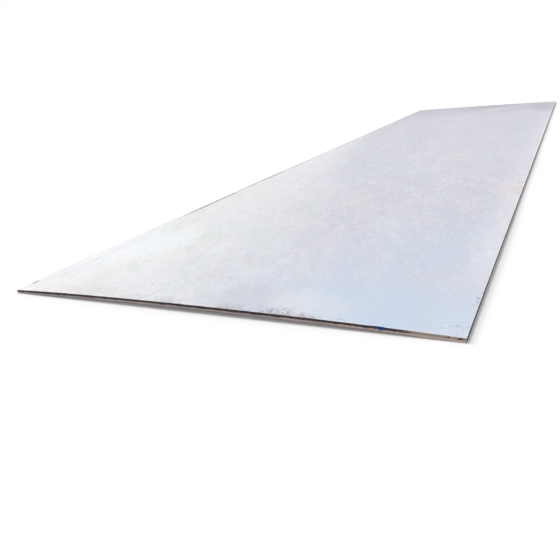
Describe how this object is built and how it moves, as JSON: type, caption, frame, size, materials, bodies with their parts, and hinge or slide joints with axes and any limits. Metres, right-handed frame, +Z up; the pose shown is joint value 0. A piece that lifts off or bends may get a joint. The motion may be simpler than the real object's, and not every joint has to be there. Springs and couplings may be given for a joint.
{
  "type": "hot rolled steel plate",
  "caption": "Flat rectangular hot rolled steel plate with sheared edges, a slightly crowned near end, slow side waves and drooping corners.",
  "frame": {"origin": "middle of the plate's outline, at the level of its lowest point", "axes": "+Z up out of the top face, +Y along the plate from the near end to the far end, +X across it to the right"},
  "size_m": [1.5, 6, 0.024],
  "materials": {
    "plate_steel": "pale blue-grey mill scale, rusty sheared edges"
  },
  "bodies": {
    "root": {"steel_plate": "plate_steel"}
  },
  "joints": []
}
